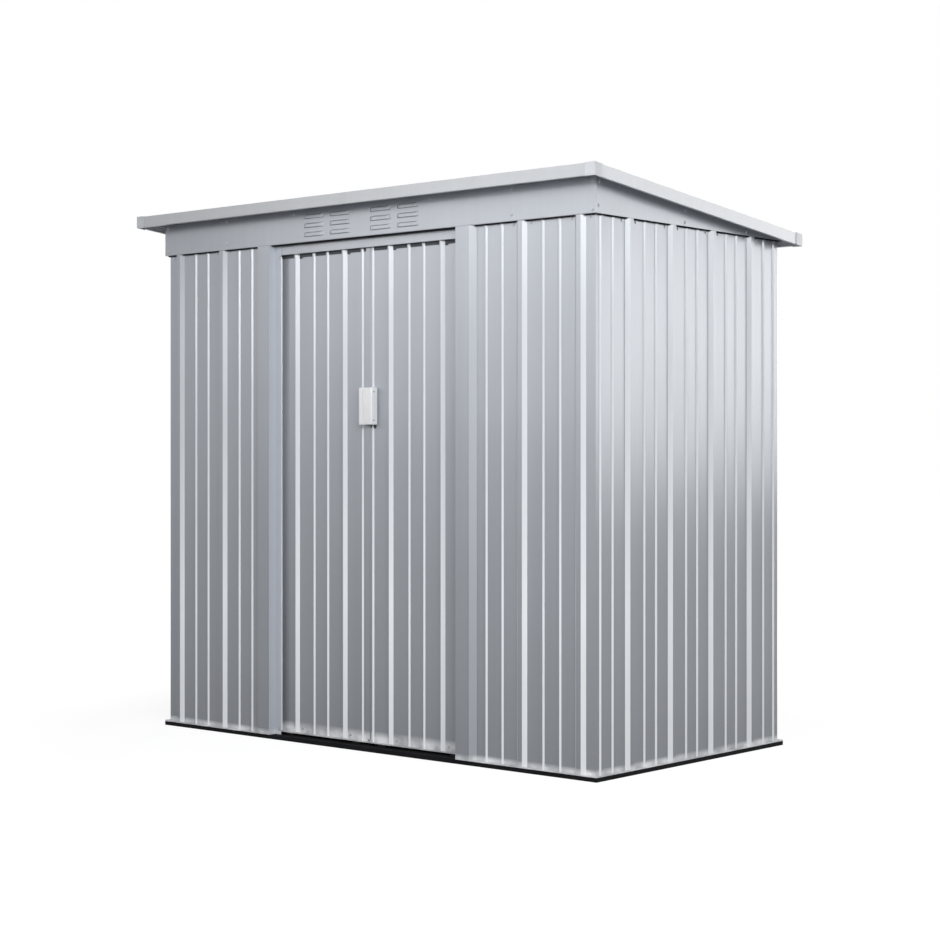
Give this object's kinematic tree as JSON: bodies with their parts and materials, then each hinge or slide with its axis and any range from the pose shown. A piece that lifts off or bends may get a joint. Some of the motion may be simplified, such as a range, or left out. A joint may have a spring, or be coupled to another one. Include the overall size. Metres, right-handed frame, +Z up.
{
  "type": "metal storage shed",
  "caption": "Metal garden storage shed with ribbed sheet walls, a pent roof that falls to the back, a louvred panel over the front and a pair of sliding doors.",
  "frame": {"origin": "on the ground at the centre of the walls, on the underside of the middle base channel", "axes": "+X along the front towards the right door, +Y from the front to the back, +Z up"},
  "size_m": [2.13, 1.178, 1.885],
  "materials": {
    "sheet": "semi-gloss silver grey",
    "frame": "semi-gloss silver grey",
    "trim": "semi-gloss light grey",
    "base": "satin black",
    "cap": "satin light grey",
    "glide": "matte black nylon",
    "handle": "satin white"
  },
  "bodies": {
    "shed": {"base_front_rail": "base", "base_back_rail": "base", "base_left_rail": "base", "base_right_rail": "base", "base_cross_rail": "base", "door_sill": "base", "bottom_rail_front": "frame", "bottom_rail_back": "frame", "bottom_rail_left": "frame", "bottom_rail_right": "frame", "corner_post_front_left": "frame", "corner_post_front_right": "frame", "corner_post_back_left": "frame", "corner_post_back_right": "frame", "top_rail_front": "frame", "top_rail_back": "frame", "top_rail_left": "frame", "top_rail_right": "frame", "roof_beam": "frame", "wall_front_left": "sheet", "wall_front_right": "sheet", "wall_left": "sheet", "wall_right": "sheet", "wall_back": "sheet", "door_post_left": "sheet", "door_post_right": "sheet", "vent_panel": "sheet", "gable_left": "sheet", "gable_right": "sheet", "roof_sheet_left": "sheet", "roof_sheet_centre": "sheet", "roof_sheet_right": "sheet", "roof_trim_front": "trim", "roof_trim_back": "trim", "roof_trim_left": "trim", "roof_trim_right": "trim", "roof_corner_caps": "cap"},
    "left_door": {"door_left_panel": "sheet", "door_left_rails": "frame", "door_left_glides": "glide", "door_left_handle": "handle"},
    "right_door": {"door_right_panel": "sheet", "door_right_rails": "frame", "door_right_glides": "glide", "door_right_handle": "handle"}
  },
  "joints": [
    {"name": "left_door_slide", "type": "slide", "parent": "shed", "child": "left_door", "axis": [-1, 0, 0], "range_m": [0, 0.355]},
    {"name": "right_door_slide", "type": "slide", "parent": "shed", "child": "right_door", "axis": [1, 0, 0], "range_m": [0, 0.355]}
  ]
}
